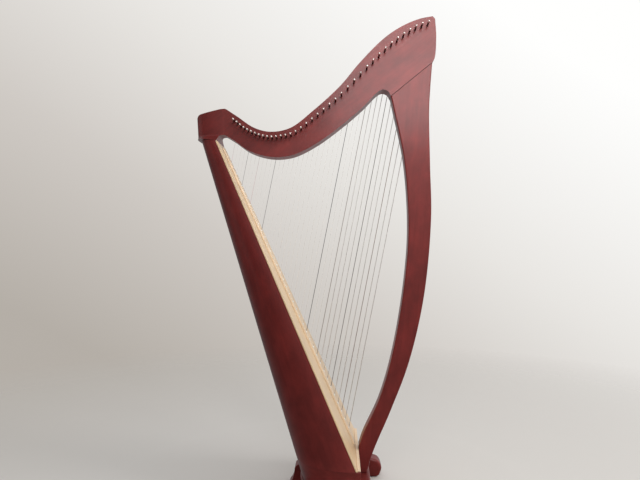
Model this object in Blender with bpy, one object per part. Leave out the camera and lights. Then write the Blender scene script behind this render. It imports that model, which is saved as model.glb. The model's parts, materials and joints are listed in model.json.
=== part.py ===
"""A 38-string harp without pedals: a wooden frame of soundbox, neck and column, strung and tunable.

Units are metres, +Z is up.  The harp stands on Z = 0 with its origin under the middle of its box.
+X points away from the player, from the soundbox to the column.  +Y is the strings' side of the neck
and -Y is the side where the tuning key goes on.  Profile points are (x, z) in millimetres, and
placed() turns them into metres about the origin.
"""
import math

import bmesh
import bpy
from mathutils import Matrix, Vector

MM = 0.001
PROFILE_CENTRE_X = -5.5     # profile X of the middle of the harp's box
FIT = 0.3                   # gap between pieces that meet, in millimetres

# Strings and their feet on the soundboard's rib
STRINGS = 38
FIRST_FOOT = (-283.0, 1083.0)       # top of the rib at the shortest string
BOARD_LEAN = math.radians(23.9)     # soundboard's lean from upright
FOOT_PITCH = (20.15, 0.383, -0.00366)   # pitch of the feet along the rib, growing towards the bass
STRING_OFFSET = 42.0                # strings' distance from the middle plane at the neck
STRING_RADIUS = (0.34, 1.05)        # shortest and longest string
STRING_ANCHOR_DEPTH = 21.0          # below the rib's face

# Tuning pins: string number -> (x, z) of the pin's axis
PIN_LINE = {1: (-267, 1212), 5: (-222, 1179), 10: (-159, 1157), 14: (-101, 1162), 16: (-69, 1173),
            20: (1, 1228), 24: (77, 1294), 28: (158, 1379), 32: (236, 1454), 36: (314, 1507),
            38: (354, 1521)}
PIN_RADIUS = 3.1
PIN_FAR_RADIUS = 2.7
PIN_SQUARE = 4.6                    # across the flats of the end that takes the key
PIN_KEY_END = -56.0
PIN_SHANK_START = -40.0
PIN_STRING_END = 51.0
PIN_HOLE_RADIUS = 3.7
BRIDGE_DROP = (22.0, 58.0)          # from a pin's axis down to where its string bends
BRIDGE_SHIFT = (-3.6, 6.5)          # from a pin's axis sideways to its string's line below the bend

# Thicknesses across the harp, and of the soundboard's layers
NECK_THICKNESS = 48.0
COLUMN_THICKNESS = 45.0
RIB_THICKNESS = 6.0
BOARD_THICKNESS = 4.5
INNER_RIB_THICKNESS = 8.0
STRING_HOLE_RADIUS = 2.4

# Soundbox
BOX_TOP = 1141.0
BOX_BOTTOM = 150.0
BOX_HALF_WIDTH = (64.0, 190.0)      # at its top and at its bottom
BACK_LINE = (-68.0, 138.0, 0.3043)  # x and z of a point on the back, and its slope
BOX_ROUNDNESS = 2.3                 # exponent of the superellipse round the back
SHOULDER_FRONT = -318.5             # front of the joint under the shoulder block
JOINT_SLOPE = 0.14                  # rise of that joint towards the back
SHELL_WALL = 5.0

# Base and feet
BASE_PLATE_TOP = 77.7
BASE_PLATE_BOTTOM = 66.3
BASE_FRONT = 132.7
PLATE_FRONT = 168.0
FOOT_TOP = 66.0

# Dowels and bolt
DOWEL_RADIUS = 8.0
SHOULDER_DOWEL_RADIUS = 5.0
BOLT_RADIUS = 4.0
COLUMN_BOLT_X = 148.0

MAHOGANY = (0.13, 0.022, 0.018)
SPRUCE = (0.72, 0.52, 0.30)
MAPLE = (0.55, 0.38, 0.20)
STEEL = (0.62, 0.62, 0.60)


# ---------------------------------------------------------------- places and small tools
def placed(x, y, z):
    """A point in metres from profile millimetres."""
    return Vector(((x - PROFILE_CENTRE_X) * MM, y * MM, z * MM))


def blend(start, end, share):
    return start + (end - start) * share


def smooth_line(points, steps):
    """Points along a centripetal Catmull-Rom curve that passes through the given ones."""
    knots = [Vector(point) for point in points]
    knots = [2 * knots[0] - knots[1]] + knots + [2 * knots[-1] - knots[-2]]
    line = []
    for a, b, c, d in zip(knots, knots[1:], knots[2:], knots[3:]):
        t1 = math.sqrt((b - a).length)
        t2 = t1 + math.sqrt((c - b).length)
        t3 = t2 + math.sqrt((d - c).length)
        for step in range(steps):
            t = blend(t1, t2, step / steps)
            ab = a.lerp(b, t / t1)
            bc = b.lerp(c, (t - t1) / (t2 - t1))
            cd = c.lerp(d, (t - t2) / (t3 - t2))
            abc = ab.lerp(bc, t / t2)
            bcd = bc.lerp(cd, (t - t1) / (t3 - t1))
            line.append(abc.lerp(bcd, (t - t1) / (t2 - t1)))
    line.append(knots[-2])
    return [tuple(point) for point in line]


def board_x(z, depth=0.0):
    """Profile X at a height, of the plane that lies a depth under the rib's face."""
    return FIRST_FOOT[0] + (FIRST_FOOT[1] - z) * math.tan(BOARD_LEAN) - depth / math.cos(BOARD_LEAN)


def back_x(z):
    x, height, slope = BACK_LINE
    return x - slope * (z - height)


def half_width(z):
    return blend(BOX_HALF_WIDTH[1], BOX_HALF_WIDTH[0], (z - BOX_BOTTOM) / (BOX_TOP - BOX_BOTTOM))


def foot_of(number):
    """Profile point on the rib's face where a string enters it."""
    constant, linear, square = FOOT_PITCH
    along = sum(constant + linear * gap + square * gap ** 2
                for gap in (step + 0.5 for step in range(number - 1)))
    return (FIRST_FOOT[0] + along * math.sin(BOARD_LEAN), FIRST_FOOT[1] - along * math.cos(BOARD_LEAN))


def pin_of(number):
    """Profile point of a tuning pin's axis, on a smooth line through PIN_LINE."""
    knots = sorted(PIN_LINE)
    for low, high in zip(knots, knots[1:]):
        if number <= high:
            break
    before = max([knot for knot in knots if knot < low], default=low)
    after = min([knot for knot in knots if knot > high], default=high)
    start, end = Vector(PIN_LINE[low]), Vector(PIN_LINE[high])
    span = high - low
    start_slope = (end - Vector(PIN_LINE[before])) / (high - before) * span
    end_slope = (Vector(PIN_LINE[after]) - start) / (after - low) * span
    t = (number - low) / span
    return tuple(start * (2 * t ** 3 - 3 * t ** 2 + 1) + start_slope * (t ** 3 - 2 * t ** 2 + t)
                 + end * (3 * t ** 2 - 2 * t ** 3) + end_slope * (t ** 3 - t ** 2))


# ---------------------------------------------------------------- materials and objects
def material(name, colour, roughness, metallic=0.0):
    made = bpy.data.materials.get(name) or bpy.data.materials.new(name)
    made.use_nodes = True
    shader = made.node_tree.nodes["Principled BSDF"]
    shader.inputs["Base Color"].default_value = (*colour, 1.0)
    shader.inputs["Roughness"].default_value = roughness
    shader.inputs["Metallic"].default_value = metallic
    return made


def new_object(name, shape, finish, origin=None):
    """An object made from a bmesh; its origin is moved to the given point."""
    if origin is not None:
        bmesh.ops.translate(shape, vec=-origin, verts=shape.verts)
    bmesh.ops.recalc_face_normals(shape, faces=shape.faces)
    mesh = bpy.data.meshes.new(name)
    shape.to_mesh(mesh)
    shape.free()
    made = bpy.data.objects.new(name, mesh)
    bpy.context.scene.collection.objects.link(made)
    if origin is not None:
        made.location = origin
    if finish is not None:
        mesh.materials.append(finish)
    return made


def round_edges(target, width, segments=2, angle=35.0):
    bevel = target.modifiers.new("round_edges", "BEVEL")
    bevel.width = width * MM
    bevel.segments = segments
    bevel.limit_method = "ANGLE"
    bevel.angle_limit = math.radians(angle)
    return target


def combine(target, other, operation):
    """Cut or join another mesh object, which is kept out of the model."""
    other.hide_render = True
    other.display_type = "WIRE"
    modifier = target.modifiers.new(operation.lower(), "BOOLEAN")
    modifier.operation = operation
    modifier.object = other
    return target


def loft(rings):
    """A closed body through rings of points, with flat ends."""
    shape = bmesh.new()
    loops = [[shape.verts.new(point) for point in ring] for ring in rings]
    count = len(loops[0])
    for low, high in zip(loops, loops[1:]):
        for side in range(count):
            after = (side + 1) % count
            shape.faces.new((low[side], low[after], high[after], high[side]))
    shape.faces.new(loops[0])
    shape.faces.new(loops[-1])
    return shape


def slab(outline, near, far):
    """A profile outline as a body between two distances from the middle plane."""
    return loft([[placed(x, y, z) for x, z in outline] for y in (near, far)])


def add_tube(shape, path, radius, sides=6):
    """Add a closed tube along a path, its rings set on the bends' bisectors."""
    loops = []
    normal = (path[1] - path[0]).orthogonal().normalized()
    for index, point in enumerate(path):
        arriving = (point - path[max(index - 1, 0)]).normalized()
        leaving = (path[min(index + 1, len(path) - 1)] - point).normalized()
        tangent = (arriving + leaving).normalized()
        normal = (normal - tangent * normal.dot(tangent)).normalized()
        across = tangent.cross(normal)
        turns = [2 * math.pi * side / sides for side in range(sides)]
        ring = [math.cos(turn) * normal + math.sin(turn) * across for turn in turns]
        loops.append([shape.verts.new(point + radius * MM * reach) for reach in ring])
    for low, high in zip(loops, loops[1:]):
        for side in range(sides):
            after = (side + 1) % sides
            shape.faces.new((low[side], low[after], high[after], high[side]))
    shape.faces.new(loops[0][::-1])
    shape.faces.new(loops[-1])


def rods(name, pieces, finish=None, sides=12):
    """One object of straight round rods, each a start, an end and a radius."""
    shape = bmesh.new()
    for start, end, radius in pieces:
        add_tube(shape, [start, end], radius, sides)
    return new_object(name, shape, finish)


def drill(target, pieces, sides=12):
    """Cut round holes, all in one go."""
    return combine(target, rods(target.name + "_drill", pieces, sides=sides), "DIFFERENCE")


# ---------------------------------------------------------------- soundbox
def d_section(z, half, front, back, inset=0.0, points=24, roundness=BOX_ROUNDNESS):
    """A level section with a flat front: a half superellipse from one front corner to the other."""
    section = []
    for index in range(points + 1):
        turn = blend(-math.pi / 2, math.pi / 2, index / points)
        side = math.copysign(abs(math.sin(turn)) ** (2 / roundness), math.sin(turn))
        depth = abs(math.cos(turn)) ** (2 / roundness)
        section.append(placed(front - depth * (front - back - inset), side * (half - inset), z))
    return section


def joint_rise(point):
    """How far the joint under the shoulder lies above BOX_TOP at a point, in millimetres."""
    return JOINT_SLOPE * (SHOULDER_FRONT - point.x / MM - PROFILE_CENTRE_X)


def wall_ring(z, outer_inset, inner_inset, skipped=0):
    """A level section of the soundbox's wall, open at its front.

    Skipped points shorten its two arms, which end behind the soundboard.
    """
    front = board_x(z, RIB_THICKNESS + BOARD_THICKNESS + 2 * FIT)
    outer, inner = (d_section(z, half_width(z), front, back_x(z), inset)
                    for inset in (outer_inset, inner_inset))
    last = len(outer) - skipped
    return outer[skipped:last] + inner[skipped:last][::-1]


def soundbox_shell(wood):
    rings = [wall_ring(blend(BOX_BOTTOM, BOX_TOP, step / 6), 0.0, SHELL_WALL) for step in range(6)]
    level = wall_ring(BOX_TOP, 0.0, SHELL_WALL)
    rings.append([wall_ring(BOX_TOP + joint_rise(point), 0.0, SHELL_WALL)[index]
                  for index, point in enumerate(level)])
    shell = new_object("soundbox_shell", loft(rings), wood)
    holes = bmesh.new()
    lean = Matrix.Rotation(math.pi / 2 - math.atan(BACK_LINE[2]), 4, "Y")
    for middle, long_axis, short_axis in ((930, 55, 22), (740, 62, 33), (530, 68, 42), (310, 74, 50)):
        place = Matrix.Translation(placed(back_x(middle), 0, middle)) @ lean
        size = Matrix.Diagonal((long_axis * MM, short_axis * MM, 60 * MM, 1.0))
        bmesh.ops.create_cone(holes, cap_ends=True, segments=20, radius1=1.0, radius2=1.0, depth=1.0,
                              matrix=place @ size)
    return combine(shell, new_object("access_hole_cutter", holes, None), "DIFFERENCE")


def shell_former(name, z, wood):
    """A bent strip inside the shell that keeps its section."""
    rings = [wall_ring(level, SHELL_WALL + FIT, SHELL_WALL + 12.0, 1) for level in (z, z + 14.0)]
    return new_object(name, loft(rings), wood)


def layer(depth, thickness, low, high, half_low, half_high):
    """A flat tapered strip parallel to the soundboard, with level ends."""
    rings = []
    for z, half in ((low, half_low), (high, half_high)):
        front, rear = board_x(z, depth), board_x(z, depth + thickness)
        rings.append([placed(front, -half, z), placed(front, half, z), placed(rear, half, z),
                      placed(rear, -half, z)])
    return loft(rings)


def on_board(number, depth):
    """A point in metres on a string's hole, a depth under the rib's face."""
    x, z = foot_of(number)
    return placed(x - depth * math.cos(BOARD_LEAN), 0, z - depth * math.sin(BOARD_LEAN))


def soundboard_layers(spruce, maple):
    board = layer(RIB_THICKNESS + FIT, BOARD_THICKNESS, BOX_BOTTOM + FIT, BOX_TOP - FIT,
                  half_width(BOX_BOTTOM), half_width(BOX_TOP))
    rib = layer(0.0, RIB_THICKNESS, 168.0, 1128.0, 16.0, 9.0)
    inner_depth = RIB_THICKNESS + BOARD_THICKNESS + 2 * FIT
    inner = layer(inner_depth, INNER_RIB_THICKNESS, 160.0, 1125.0, 20.0, 12.0)
    holes = [(on_board(number, 30.0), on_board(number, -8.0), STRING_HOLE_RADIUS)
             for number in range(1, STRINGS + 1)]
    for name, shape, wood in (("soundboard", board, spruce), ("string_rib", rib, spruce),
                              ("inner_rib", inner, maple)):
        drill(new_object(name, shape, wood), holes, sides=8)


# ---------------------------------------------------------------- base and feet
def base_block(wood):
    rings = [d_section(z, half_width(BOX_BOTTOM), BASE_FRONT, back_x(z))
             for z in (BASE_PLATE_TOP + FIT, BOX_BOTTOM - FIT)]
    return new_object("base_block", loft(rings), wood)


def base_plate(wood):
    lip = 6.0
    rings = [d_section(z, half_width(BOX_BOTTOM) + lip, PLATE_FRONT, back_x(BASE_PLATE_TOP) - lip)
             for z in (BASE_PLATE_BOTTOM, BASE_PLATE_TOP)]
    plate = new_object("base_plate", loft(rings), wood)
    round_edges(plate, 3.0, 1)
    return drill(plate, [column_bolt_hole()])


def feet(wood):
    front = [(92, 0), (200, 0)] + smooth_line([(210, 6), (218, 32), (206, 56), (180, FOOT_TOP)], 3)
    front += [(92, FOOT_TOP)]
    rear = [(24, 0), (24, FOOT_TOP)]
    rear += smooth_line([(-72, FOOT_TOP), (-81, 58), (-84, 38), (-92, 13), (-101, 0)], 3)
    for side, sign in (("left", 1), ("right", -1)):
        for end, outline, inner, outer in (("front", front, 128, 184), ("rear", rear, 74, 126)):
            body = slab(outline, sign * inner, sign * outer)
            round_edges(new_object(f"{end}_foot_{side}", body, wood), 7.0, 2)


# ---------------------------------------------------------------- neck, shoulder and column
NECK_START = -300.0
SHOULDER_BACK = -393.0
JOINT_OUTER = (370.0, 1402.0)
JOINT_INNER = (236.0, 1293.0)
ARCH_END = (NECK_START, 1168.5)

NECK_TOP = [(NECK_START, 1254), (-259, 1227), (-205, 1191), (-153, 1178), (-89, 1190), (-12, 1248),
            (72, 1325), (137, 1402), (214, 1479), (272, 1518), (330, 1542), (371, 1550)]
NECK_TIP = [(378.5, 1541), (382, 1484), (377, 1415), JOINT_OUTER]
NECK_ARCH = [JOINT_INNER, (227, 1308), (211, 1314), (195, 1307)]
NECK_UNDER = [(146, 1258), (72, 1195), (-4, 1140), (-73, 1105), (-124, 1096), (-172, 1100), (-224, 1118),
              (-270, 1150), ARCH_END]

COLUMN_OUTER = [JOINT_OUTER, (364, 1325), (360, 1248), (363, 1074), (366.5, 900), (343.5, 649),
                (295, 436), (237, 282), (179, 146), (158, 78)]
COLUMN_FOOT = (BASE_FRONT + FIT, 78)
COLUMN_INNER = [(BASE_FRONT + FIT, 165), (147, 205), (200, 320), (244, 475), (283, 716), (293, 880),
                (279, 1087), (246, 1248), JOINT_INNER]


def joint_shift(outward):
    """Half of the fit gap, square to the joint between neck and column."""
    along = (Vector(JOINT_OUTER) - Vector(JOINT_INNER)).normalized()
    return Vector((-along.y, along.x)) * outward * FIT / 2


def neck_outline():
    shift = joint_shift(1)
    top = smooth_line(NECK_TOP, 4)
    tip = smooth_line(NECK_TIP, 2)
    under = smooth_line(NECK_ARCH + NECK_UNDER, 4)
    tip[-1] = tuple(Vector(tip[-1]) + shift)
    under[0] = tuple(Vector(under[0]) + shift)
    return top + tip + under


def neck(wood):
    half = NECK_THICKNESS / 2
    body = new_object("neck", slab(neck_outline(), -half, half), wood)
    round_edges(body, 4.0, 1, 50.0)
    pin_holes = [(placed(x, -40, z), placed(x, 40, z), PIN_HOLE_RADIUS)
                 for x, z in map(pin_of, range(1, STRINGS + 1))]
    return drill(body, pin_holes + [joint_dowel(1.0), shoulder_dowel(1.0)], sides=10)


def column(wood):
    shift = joint_shift(-1)
    outer = smooth_line(COLUMN_OUTER, 4)
    inner = [COLUMN_FOOT] + smooth_line(COLUMN_INNER, 4)
    outer[0] = tuple(Vector(outer[0]) + shift)
    inner[-1] = tuple(Vector(inner[-1]) + shift)
    half = COLUMN_THICKNESS / 2
    body = new_object("column", slab(outer + inner, -half, half), wood)
    round_edges(body, 7.0, 2, 50.0)
    return drill(body, [joint_dowel(1.0), column_bolt_hole()])


def shoulder_block(wood):
    """The flared block between the soundbox's narrow end and the neck."""
    stations = ((1153, 45, -318, -385), (1160, 33, -317, -386.5), (1165.5, 28, -313, -388),
                (ARCH_END[1], 26.5, NECK_START, -388.5), (1188, 25, NECK_START, -390),
                (1205, 24.5, NECK_START, -391.5), (1226, 24, NECK_START, SHOULDER_BACK))
    foot = d_section(BOX_TOP + FIT, 68, SHOULDER_FRONT - FIT, -383, points=16, roundness=2.8)
    for point in foot:
        point.z += joint_rise(point) * MM
    rings = [foot] + [d_section(z, half, front - FIT, back, points=16, roundness=2.8)
                      for z, half, front, back in stations]
    crown = d_section(1254, 24, NECK_START - FIT, SHOULDER_BACK, points=16, roundness=2.8)
    lowest_crown = 1233
    back_end, front_end = placed(SHOULDER_BACK, 0, 0).x, placed(NECK_START - FIT, 0, 0).x
    for point in crown:
        share = (point.x - back_end) / (front_end - back_end)
        point.z = blend(lowest_crown, 1254, share) * MM
    block = new_object("shoulder_block", loft(rings + [crown]), wood)
    round_edges(block, 4.0, 1, 60.0)
    return drill(block, [shoulder_dowel(1.0)])


# ---------------------------------------------------------------- dowels and bolt inside the joints
def joint_dowel(clearance=0.0):
    """The rod square to the joint between neck and column, or its hole."""
    middle = (Vector(JOINT_OUTER) + Vector(JOINT_INNER)) / 2
    reach = joint_shift(1).normalized() * (42.0 + clearance)
    low, high = middle - reach, middle + reach
    return placed(low.x, 0, low.y), placed(high.x, 0, high.y), DOWEL_RADIUS + clearance / 2


def shoulder_dowel(clearance=0.0):
    """The level rod between shoulder and neck, or its hole."""
    low, high = NECK_START - 38.0 - clearance, NECK_START + 36.0 + clearance
    return placed(low, 0, 1184), placed(high, 0, 1184), SHOULDER_DOWEL_RADIUS + clearance / 2


def column_bolt_hole():
    return placed(COLUMN_BOLT_X, 0, 50), placed(COLUMN_BOLT_X, 0, 142), BOLT_RADIUS + 0.6


def column_bolt(steel):
    shank = (placed(COLUMN_BOLT_X, 0, 62), placed(COLUMN_BOLT_X, 0, 140), BOLT_RADIUS)
    head = (placed(COLUMN_BOLT_X, 0, 58.5), placed(COLUMN_BOLT_X, 0, 66), 2 * BOLT_RADIUS)
    return combine(rods("column_bolt", [shank], steel), rods("column_bolt_head", [head], sides=6), "UNION")


# ---------------------------------------------------------------- strings and tuning pins
def string_path(number):
    """From the anchor under the rib, out of its hole, past the bend at the neck, to the pin's side."""
    foot, pin = Vector(foot_of(number)), Vector(pin_of(number))
    share = (number - 1) / (STRINGS - 1)
    radius = blend(*STRING_RADIUS, share)
    aim = pin + Vector((blend(*BRIDGE_SHIFT, share), 0))
    direction = (aim - foot).normalized()
    left = Vector((-direction.y, direction.x))
    end = pin + left * (PIN_RADIUS + radius + FIT)
    bend = aim - direction * blend(*BRIDGE_DROP, share)
    start = on_board(number, STRING_ANCHOR_DEPTH)
    out = on_board(number, -0.7)
    return [start, out, placed(bend.x, STRING_OFFSET, bend.y), placed(end.x, STRING_OFFSET, end.y)], radius


def string_set(name, first, last, finish):
    """Strings joined by the strip that stands for their knots, under the inner rib."""
    depth = RIB_THICKNESS + BOARD_THICKNESS + INNER_RIB_THICKNESS + 4 * FIT
    low, high = foot_of(last)[1] - 14.0, foot_of(first)[1] - 4.0
    anchor = new_object(name, layer(depth, 4.0, low, high, 5.0, 5.0), finish)
    shape = bmesh.new()
    for number in range(first, last + 1):
        add_tube(shape, *string_path(number))
    return combine(anchor, new_object(name + "_wires", shape, None), "UNION")


def tuning_pin(number, steel):
    """A tapered round pin with a squared end for the key, with its origin on its axis."""
    x, z = pin_of(number)
    rings = []
    for y, radius in ((PIN_KEY_END, None), (PIN_SHANK_START - 2.0, None), (PIN_SHANK_START, PIN_RADIUS),
                      (PIN_STRING_END, PIN_FAR_RADIUS)):
        ring = []
        for corner in range(8):
            turn = math.pi / 4 * corner
            if radius is None:
                reach = PIN_SQUARE / 2 * (math.sqrt(2) if corner % 2 else 1.0)
            else:
                reach = radius
            ring.append(placed(x + reach * math.cos(turn), y, z + reach * math.sin(turn)))
        rings.append(ring)
    return new_object(f"tuning_pin_{number:02d}", loft(rings), steel, placed(x, 0, z))


# ---------------------------------------------------------------- the harp
def build():
    for old in list(bpy.data.objects):
        bpy.data.objects.remove(old, do_unlink=True)
    body = material("mahogany_lacquer", MAHOGANY, 0.32)
    soundbox_shell(body)
    soundboard_layers(material("spruce", SPRUCE, 0.5), material("maple", MAPLE, 0.55))
    for name, z in (("shell_former_upper", 830.0), ("shell_former_middle", 628.0),
                    ("shell_former_lower", 412.0)):
        shell_former(name, z, material("ash_former", MAPLE, 0.7))
    base_block(material("base_lacquer", MAHOGANY, 0.35))
    base_plate(material("plate_lacquer", MAHOGANY, 0.4))
    feet(material("foot_lacquer", MAHOGANY, 0.4))
    shoulder_block(material("shoulder_lacquer", MAHOGANY, 0.32))
    neck(material("neck_lacquer", MAHOGANY, 0.32))
    column(material("column_lacquer", MAHOGANY, 0.32))
    rods("column_dowel", [joint_dowel()], material("beech_dowel", MAPLE, 0.6))
    rods("shoulder_dowel", [shoulder_dowel()], material("beech_peg", MAPLE, 0.6))
    column_bolt(material("bolt_steel", STEEL, 0.4, 1.0))
    string_set("strings_treble", 1, 15, material("nylon", (0.8, 0.78, 0.72), 0.3))
    string_set("strings_middle", 16, 29, material("gut", (0.75, 0.62, 0.42), 0.4))
    string_set("strings_bass", 30, STRINGS, material("wound_wire", (0.35, 0.3, 0.27), 0.35, 0.8))
    pin_steel = material("pin_steel", STEEL, 0.25, 1.0)
    for number in range(1, STRINGS + 1):
        tuning_pin(number, pin_steel)


build()
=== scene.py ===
"""Looks of the 38-string harp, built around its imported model.

Profile points are (x, z) in millimetres, and placed() turns them into metres in the frame.  Y runs
across the harp: the strings are on the +Y side of the neck, and the tuning key goes on at the -Y side.
"""
import json
import math

import bmesh
import bpy
from mathutils import Matrix, Vector


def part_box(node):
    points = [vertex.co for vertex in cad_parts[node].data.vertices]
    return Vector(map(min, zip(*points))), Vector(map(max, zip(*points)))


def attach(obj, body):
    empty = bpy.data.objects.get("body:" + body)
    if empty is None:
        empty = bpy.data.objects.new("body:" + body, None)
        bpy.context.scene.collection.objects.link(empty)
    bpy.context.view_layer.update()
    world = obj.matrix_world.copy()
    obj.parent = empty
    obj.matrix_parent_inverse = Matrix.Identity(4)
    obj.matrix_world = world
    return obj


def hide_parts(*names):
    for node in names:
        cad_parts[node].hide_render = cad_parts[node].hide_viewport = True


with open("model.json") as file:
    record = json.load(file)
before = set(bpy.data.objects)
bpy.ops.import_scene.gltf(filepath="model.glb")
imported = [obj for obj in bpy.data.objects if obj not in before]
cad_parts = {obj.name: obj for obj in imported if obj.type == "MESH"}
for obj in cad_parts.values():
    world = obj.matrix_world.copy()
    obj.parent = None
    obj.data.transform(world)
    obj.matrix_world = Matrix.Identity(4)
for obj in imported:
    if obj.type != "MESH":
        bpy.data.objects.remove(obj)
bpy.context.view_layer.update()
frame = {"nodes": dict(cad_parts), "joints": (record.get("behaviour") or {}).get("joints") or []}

MM = 0.001
BODY = "frame"              # the body of everything but the tuning pins
FIT = 0.3                   # gap between glued pieces
PLATE_TOP = 77.7
STAND = PLATE_TOP + FIT     # underside of the column and the base block

# Rounding of edges
NECK_ROUNDING = 4.0
COLUMN_ROUNDING = 4.5
SHOULDER_ROUNDING = 9.0
CREST_ROUNDING = 1.8        # how far it takes down the crest where neck and shoulder meet
JOINT_ARRIS = 0.22          # along the joint of neck and column, as a share of the other edges'
BOARD_ROUNDING = 1.2
RIB_ROUNDING = 4.6
SILL_ROUNDING = 0.8
BLOCK_ROUNDING = 1.0
PLATE_ROUNDING = 3.6
FOOT_ROUNDING = 8.0

# Outlines of the neck and the column
NECK_START = -300.0
JOINT_OUTER = (370.0, 1402.0)
JOINT_INNER = (236.0, 1293.0)
ARCH_END = (NECK_START, 1168.5)
NECK_TOP = [(NECK_START, 1254), (-259, 1227), (-205, 1191), (-153, 1178), (-89, 1190), (-12, 1248),
            (72, 1325), (137, 1402), (214, 1479), (272, 1518), (330, 1542), (371, 1550)]
NECK_TIP = [(378.5, 1541), (382, 1484), (377, 1415), JOINT_OUTER]
NECK_ARCH = [JOINT_INNER, (227, 1308), (211, 1314), (195, 1307)]
NECK_UNDER = [(146, 1258), (72, 1195), (-4, 1140), (-73, 1105), (-124, 1096), (-172, 1100), (-224, 1118),
              (-270, 1150), ARCH_END]
COLUMN_OUTER = [JOINT_OUTER, (364, 1325), (360, 1248), (363, 1074), (366.5, 900), (343.5, 649),
                (295, 436), (237, 282), (179, 146), (158, STAND)]
COLUMN_INNER = [(133, 165), (147, 205), (200, 320), (244, 475), (283, 716), (293, 880), (279, 1087),
                (246, 1248), JOINT_INNER]
JOINT_GAP = 0.9                     # the glue line between neck and column is sunk this wide
LINE_TUCK = 0.4                     # the dark strip in it reaches this far into the wood at each side
LINE_SHORT = 2.5                    # and ends this far from the outlines
LINE_SUNK = 1.0                     # and this far under the faces

# Soundbox, soundboard and shoulder
BOX_TOP = 1141.0
BOX_BOTTOM = 150.0
BOX_HALF_WIDTH = (64.0, 190.0)      # at its top and at its bottom
BACK_LINE = (-68.0, 138.0, 0.3043)  # x and z of a point on the back, and its slope
BOX_ROUNDNESS = 2.3                 # exponent of the superellipse round the back
SHELL_WALL = 5.0
ACCESS_HOLES = ((930, 55, 22), (740, 62, 33), (530, 68, 42), (310, 74, 50))   # height and half axes
BOARD_LEAN = math.radians(23.9)
BOARD_THICKNESS = 4.5
RIB_THICKNESS = 6.0
INNER_RIB_THICKNESS = 8.0
WALL_POINTS = 64                    # round a level section of the wall and of the base
WALL_STEPS = 34                     # level sections of the wall
CUTTER_DEPTH = 60.0
RIB_ENDS = (168.0, 1128.0)
RIB_HALF_WIDTH = (16.0, 9.0)        # at its lower and at its upper end
SILL_HEIGHT = 3.0
SHOULDER_FRONT = -318.5
SHOULDER_BACK = -393.0
JOINT_SLOPE = 0.14                  # rise towards the back of the joint under the shoulder
SHOULDER_ROUNDNESS = 2.8
SHOULDER_FOOT = (64.5, -386.0)      # half width and back of its lowest section
SHOULDER_HALF = 23.9                # half width where it meets the neck
SHOULDER_CROWN = 1233.0             # height of its back edge; the crown rises from there to the neck
NECK_OVERLAP = 1.5                  # the neck reaches this far into the shoulder, so that no seam shows

# Sections of the shoulder: height, half width, front and back
SHOULDER_FLARE = [(1142, 63, -318.5, -386.5), (1147, 54, -318.4, -387.5), (1153, 43, -318, -388.3),
                  (1159, 33, -317.5, -388.9), (1164, 27, -316, -389.3), (1167, 24.6, -312, -389.6),
                  (ARCH_END[1], 24, -305, -389.7)]
SHOULDER_UPPER = [(ARCH_END[1] + 0.1, SHOULDER_HALF, NECK_START, -389.8),
                  (1188, SHOULDER_HALF, NECK_START, -390.8), (1205, SHOULDER_HALF, NECK_START, -391.8),
                  (1222, SHOULDER_HALF, NECK_START, SHOULDER_BACK + 0.3)]

# Base
BASE_FRONT = 132.7
PLATE_FRONT = 168.0
PLATE_LIP = 6.0                     # the plate stands out past the block
FOOT_TOP = 66.0
FRONT_FOOT_HEEL = 92.0
FRONT_FOOT_SOLE = 200.0             # the sole is flat as far as this
FRONT_FOOT_NOSE = [(210, 6), (218, 32), (206, 56), (180, FOOT_TOP)]
REAR_FOOT_HEEL = 24.0
REAR_FOOT_NOSE = [(-72, FOOT_TOP), (-81, 58), (-84, 38), (-92, 13), (-101, 0)]

# Strings and pins
STRINGS = 38
FIRST_FOOT = (-283.0, 1083.0)       # top of the rib at the shortest string
FOOT_PITCH = (20.15, 0.383, -0.00366)   # pitch of the feet along the rib, growing towards the bass
STRING_OFFSET = 42.0                # strings' distance from the middle plane at the neck
STRING_RADIUS = (0.34, 1.05)        # shortest and longest string
BRIDGE_DROP = (22.0, 58.0)          # from a pin's axis down to where its string bends
BRIDGE_SHIFT = (-3.6, 6.5)          # from a pin's axis sideways to its string's line below the bend
PIN_RADIUS = 3.1
PIN_FAR_RADIUS = 2.7
PIN_SQUARE = 4.6                    # across the flats
PIN_KEY_END = -56.0
PIN_SHANK_START = -40.0             # round from here on
PIN_STRING_END = 51.0
PIN_SHADE_FROM = -46.0              # painted shade and painted dark reflection from here on; the squared end is bright
PIN_BITE = 0.25                     # a string lies this deep in its pin
COIL_ASIDE = 1.15                   # in string radii: how far a string and its coil part at the pin
COIL_GAP = 0.12
COIL_TURNS = (4.25, 3.25)           # of a thin and of a thick string
THICK_STRING = 0.6                  # radius from which a string counts as thick
POST_RADIUS = (1.4, 2.0)            # bridge pins of the shortest and of the longest string
POST_GROOVE = 0.8                   # share of that radius where the string lies
POST_PROFILE = ((40.6, 1.0), (41.2, POST_GROOVE), (42.9, POST_GROOVE), (43.4, 1.15), (46.4, 1.15),
                (47.2, 0.6))        # y, and a share of the radius
GROMMET_LIP = (2.6, 3.7)            # radius at the shortest and at the longest string
GROMMET_DEPTH = 4.0
GROMMET_WALL = 0.6
GROMMET_CLEARANCE = 0.45
PEG_RADIUS = 1.3
PEG_HALF_LENGTH = 6.5
ANCHOR_DEPTH = RIB_THICKNESS + BOARD_THICKNESS + INNER_RIB_THICKNESS + 3 * FIT   # under the rib's face
FIRST_GUT = 16
FIRST_WOUND = 30
RED_STRINGS = (1, 8)
BLACK_STRINGS = (5, 12, 26)
BROWN_STRING = 29
DARK_WOUND = 33
COPPER_WOUND = 36
WINDING_PITCH = 1.1

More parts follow.
